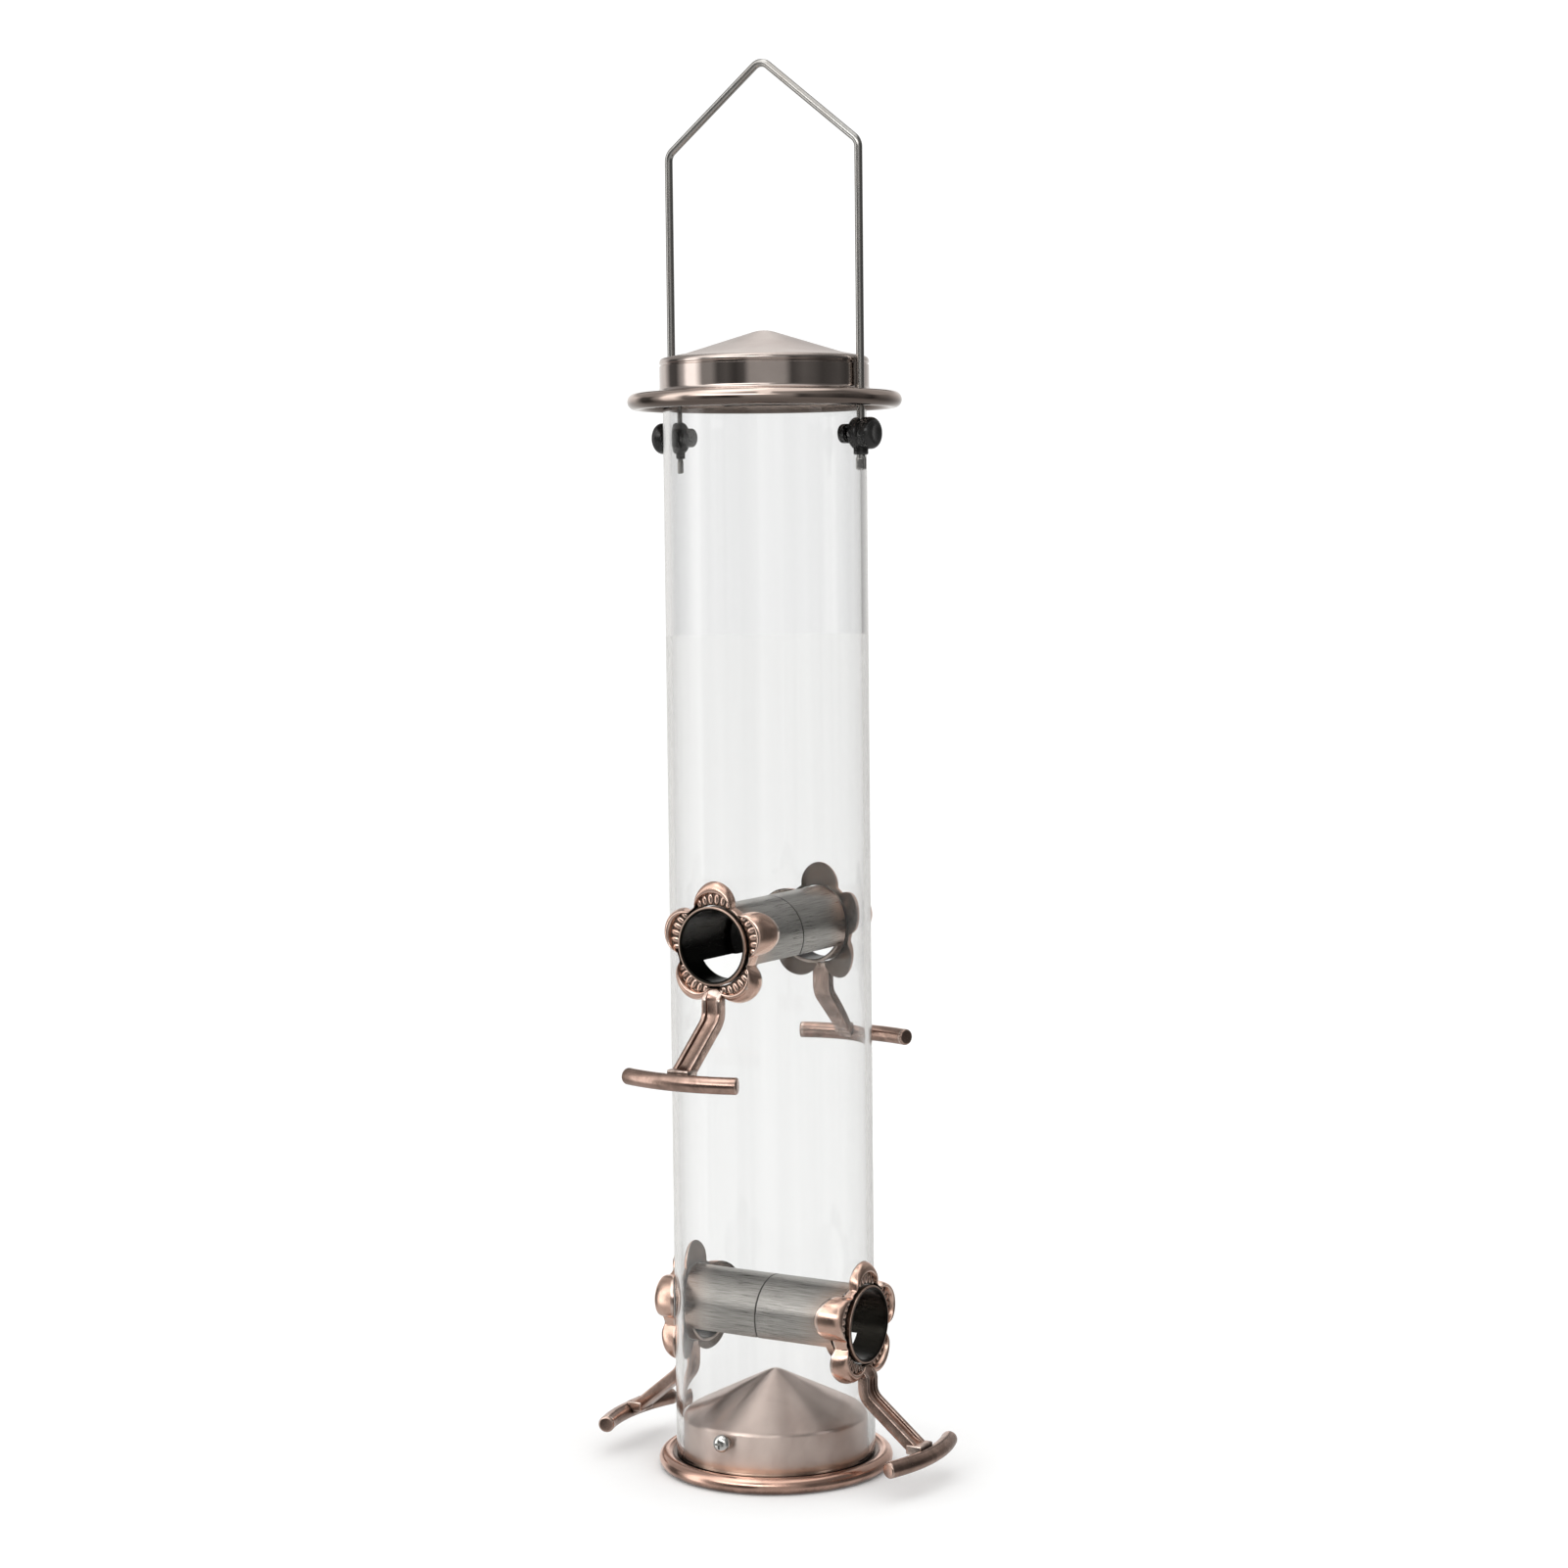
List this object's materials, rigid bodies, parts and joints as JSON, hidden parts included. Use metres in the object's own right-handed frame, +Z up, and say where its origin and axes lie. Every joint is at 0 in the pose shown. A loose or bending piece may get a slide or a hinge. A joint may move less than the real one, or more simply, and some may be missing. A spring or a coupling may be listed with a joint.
{
  "type": "tube bird feeder",
  "caption": "Hanging tube bird feeder: clear tube on a round foot, flower-shaped feeding ports with bowed perches, and a lid that slides up a bent wire hanger.",
  "frame": {"origin": "on the surface under the middle of the foot", "axes": "+Z up the tube's axis; -Y towards the side with one upper port left of the middle and one lower port at the right"},
  "size_m": [0.1156, 0.1156, 0.4458],
  "materials": {
    "clear_tube": "clear polished plastic",
    "copper_rim": "glossy copper plate over a cast foot",
    "satin_copper": "satin spun copper, turned grain",
    "antique_copper": "antique copper, dark in the recesses and bright on the edges",
    "sleeve_metal": "grey-bronze brushed metal, blackened inside",
    "lid_copper": "polished copper wall and brim under a satin cone, turned lines",
    "hanger_steel": "drawn grey steel wire",
    "screw_steel": "bright plated steel",
    "black_plastic": "moulded black plastic, slight gloss"
  },
  "bodies": {
    "feeder": {"feeder_tube": "clear_tube", "base_tray": "copper_rim", "seed_cone": "satin_copper", "base_screw_front": "screw_steel", "base_screw_back": "screw_steel", "base_nut_front": "screw_steel", "base_nut_back": "screw_steel", "hanger_wire": "hanger_steel", "hanger_knob_right": "black_plastic", "hanger_knob_left": "black_plastic", "knob_nut_right": "black_plastic", "knob_nut_left": "black_plastic", "port_sleeve_upper_front": "sleeve_metal", "port_flower_upper_front": "antique_copper", "perch_stem_upper_front": "antique_copper", "perch_bar_upper_front": "antique_copper", "port_sleeve_upper_back": "sleeve_metal", "port_flower_upper_back": "antique_copper", "perch_stem_upper_back": "antique_copper", "perch_bar_upper_back": "antique_copper", "port_sleeve_lower_right": "sleeve_metal", "port_flower_lower_right": "antique_copper", "perch_stem_lower_right": "antique_copper", "perch_bar_lower_right": "antique_copper", "port_sleeve_lower_left": "sleeve_metal", "port_flower_lower_left": "antique_copper", "perch_stem_lower_left": "antique_copper", "perch_bar_lower_left": "antique_copper"},
    "lid": {"lid_cap": "lid_copper"}
  },
  "joints": [
    {"name": "lid_slide", "type": "slide", "parent": "feeder", "child": "lid", "axis": [0, 0, 1], "range_m": [0, 0.064]}
  ]
}
